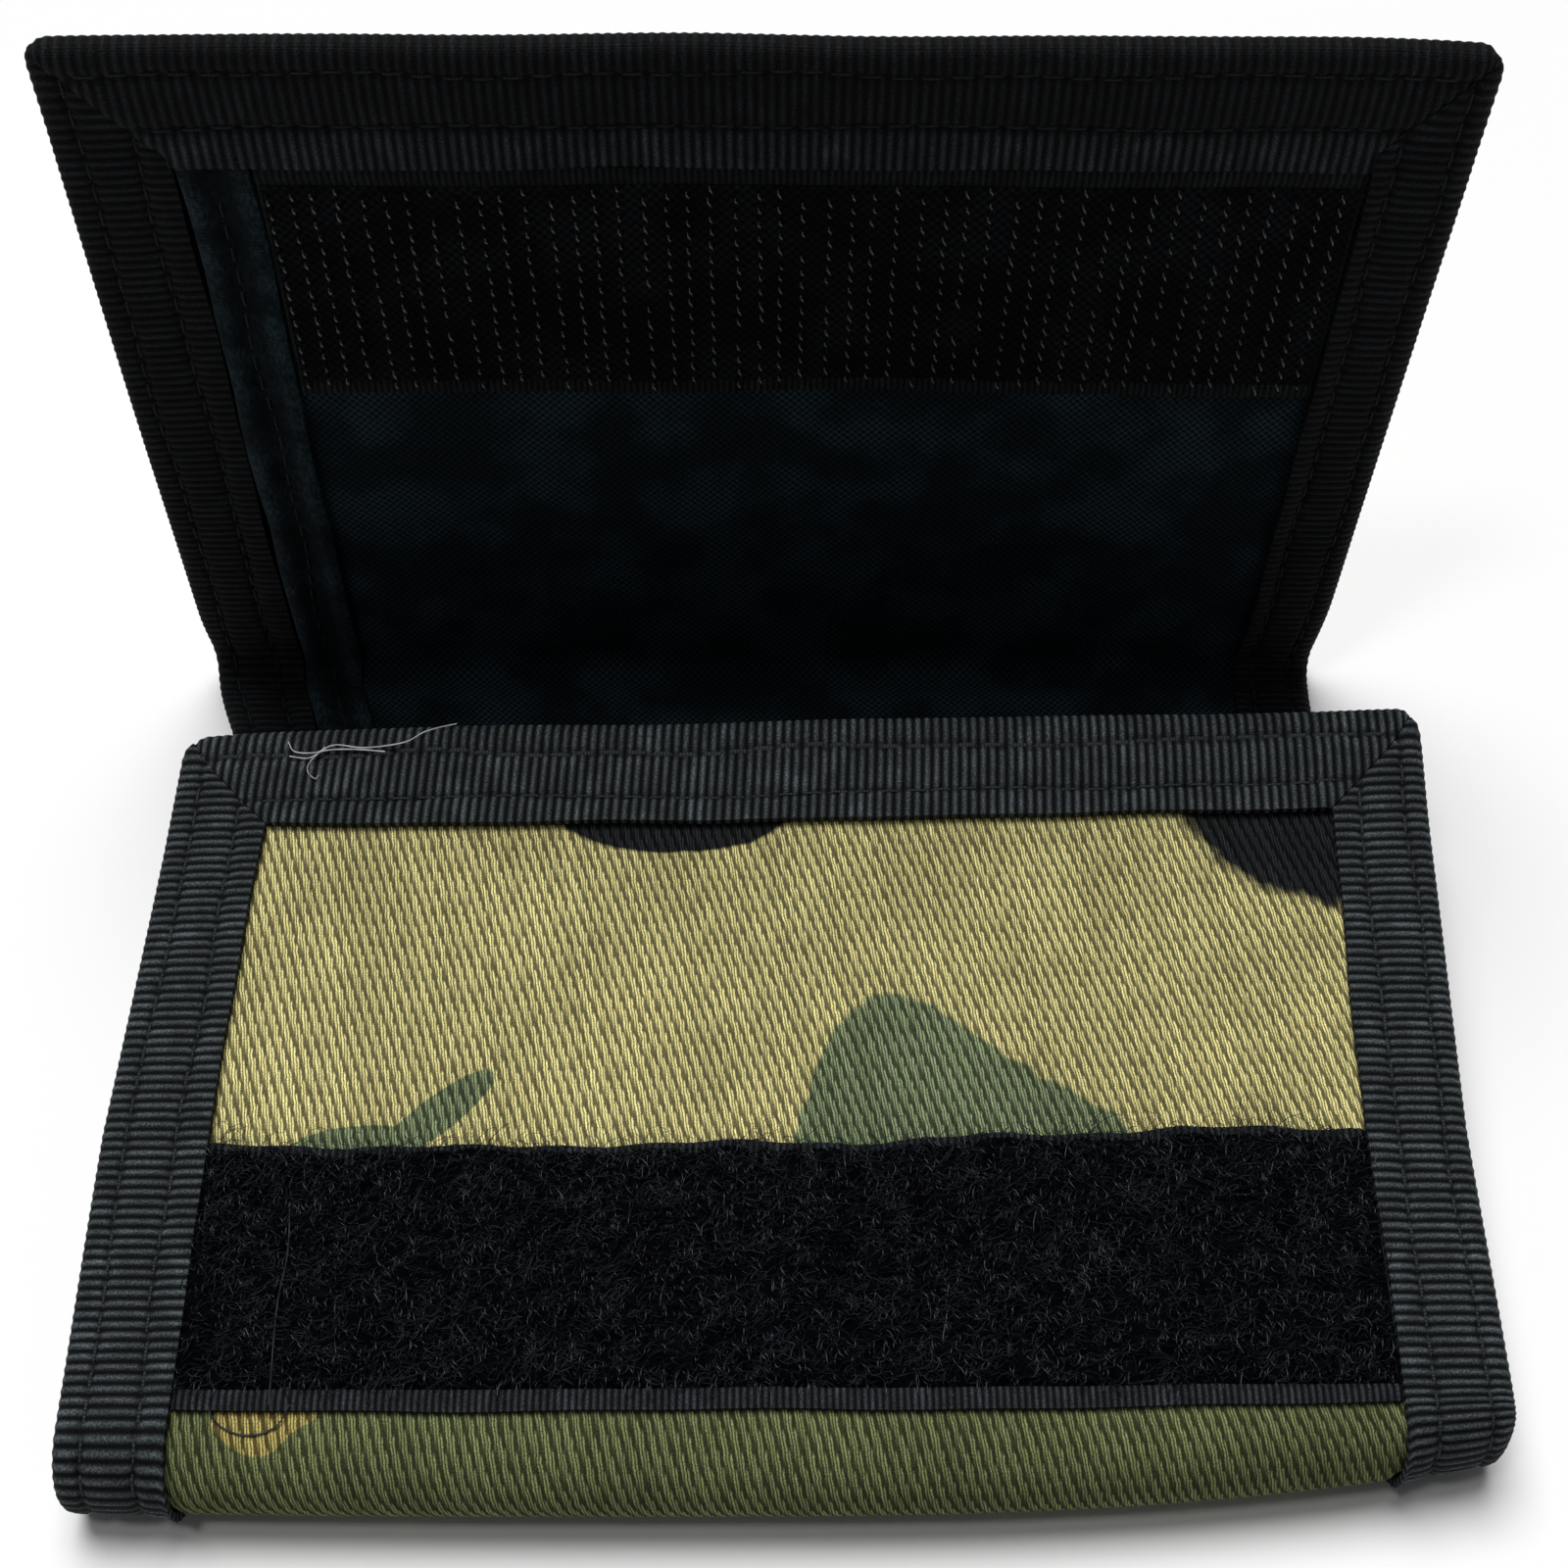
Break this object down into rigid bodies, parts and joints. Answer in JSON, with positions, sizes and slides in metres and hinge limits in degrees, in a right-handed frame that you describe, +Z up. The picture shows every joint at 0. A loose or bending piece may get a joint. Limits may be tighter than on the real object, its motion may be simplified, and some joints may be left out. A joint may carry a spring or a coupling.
{
  "type": "trifold wallet",
  "caption": "Trifold wallet of printed twill with grosgrain bindings, a hook and loop flap, a note compartment, card pockets and a window pocket.",
  "frame": {"origin": "centre of the footprint, on the surface that the wallet lies on", "axes": "+X across the wallet, its widest extent; +Y from the near fold to the standing flap; +Z up"},
  "size_m": [0.127, 0.1002, 0.083],
  "materials": {
    "camo_twill": "printed cotton twill, tan with green, olive and black patches",
    "grosgrain": "ribbed woven tape, slight sheen",
    "inner_tape": "soft narrow woven tape",
    "lining_cloth": "plain weave pack cloth",
    "loop_pile": "brushed loop pile",
    "hook_tape": "woven tape with stiff nylon hooks",
    "clear_vinyl": "clear film"
  },
  "bodies": {
    "middle": {"middle_shell": "camo_twill", "middle_lining": "lining_cloth", "middle_binding_left": "grosgrain", "middle_binding_right": "grosgrain", "middle_inner_binding": "inner_tape", "card_pocket_back": "lining_cloth", "card_pocket_middle": "lining_cloth", "card_pocket_front": "lining_cloth"},
    "far_spine": {"far_spine_shell": "camo_twill", "far_spine_lining": "lining_cloth", "far_spine_binding_left": "grosgrain", "far_spine_binding_right": "grosgrain", "far_spine_inner_binding": "inner_tape"},
    "flap": {"flap_shell": "camo_twill", "flap_lining": "lining_cloth", "flap_binding_left": "grosgrain", "flap_binding_right": "grosgrain", "flap_end_binding": "grosgrain", "flap_inner_binding": "inner_tape", "hook_strip": "hook_tape"},
    "near_spine": {"near_spine_shell": "camo_twill", "near_spine_lining": "lining_cloth", "near_spine_binding_left": "grosgrain", "near_spine_binding_right": "grosgrain", "near_spine_inner_binding": "inner_tape"},
    "front": {"front_shell": "camo_twill", "front_lining": "lining_cloth", "front_binding_left": "grosgrain", "front_binding_right": "grosgrain", "front_end_binding": "grosgrain", "front_inner_binding": "inner_tape", "loop_strip": "loop_pile", "front_card_pocket": "lining_cloth", "id_window": "clear_vinyl", "id_window_trim": "inner_tape"}
  },
  "joints": [
    {"name": "near_spine_fold", "type": "hinge", "parent": "middle", "child": "near_spine", "pos_m": [0, -0.0482, 0.0019], "axis": [1, 0, 0], "range_deg": [-3.53, 90]},
    {"name": "front_fold", "type": "hinge", "parent": "near_spine", "child": "front", "pos_m": [0, -0.0482, 0.0088], "axis": [1, 0, 0], "range_deg": [-3.27, 83.21]},
    {"name": "far_spine_fold", "type": "hinge", "parent": "middle", "child": "far_spine", "pos_m": [0, 0.0281, 0.00095], "axis": [1, 0, 0], "range_deg": [0, 90]},
    {"name": "flap_fold", "type": "hinge", "parent": "far_spine", "child": "flap", "pos_m": [0, 0.0482, 0.0019], "axis": [1, 0, 0], "range_deg": [-90, 0]}
  ],
  "couplings": [
    {"joint": "front_fold", "follows": "near_spine_fold", "ratio": 0.9244}
  ]
}
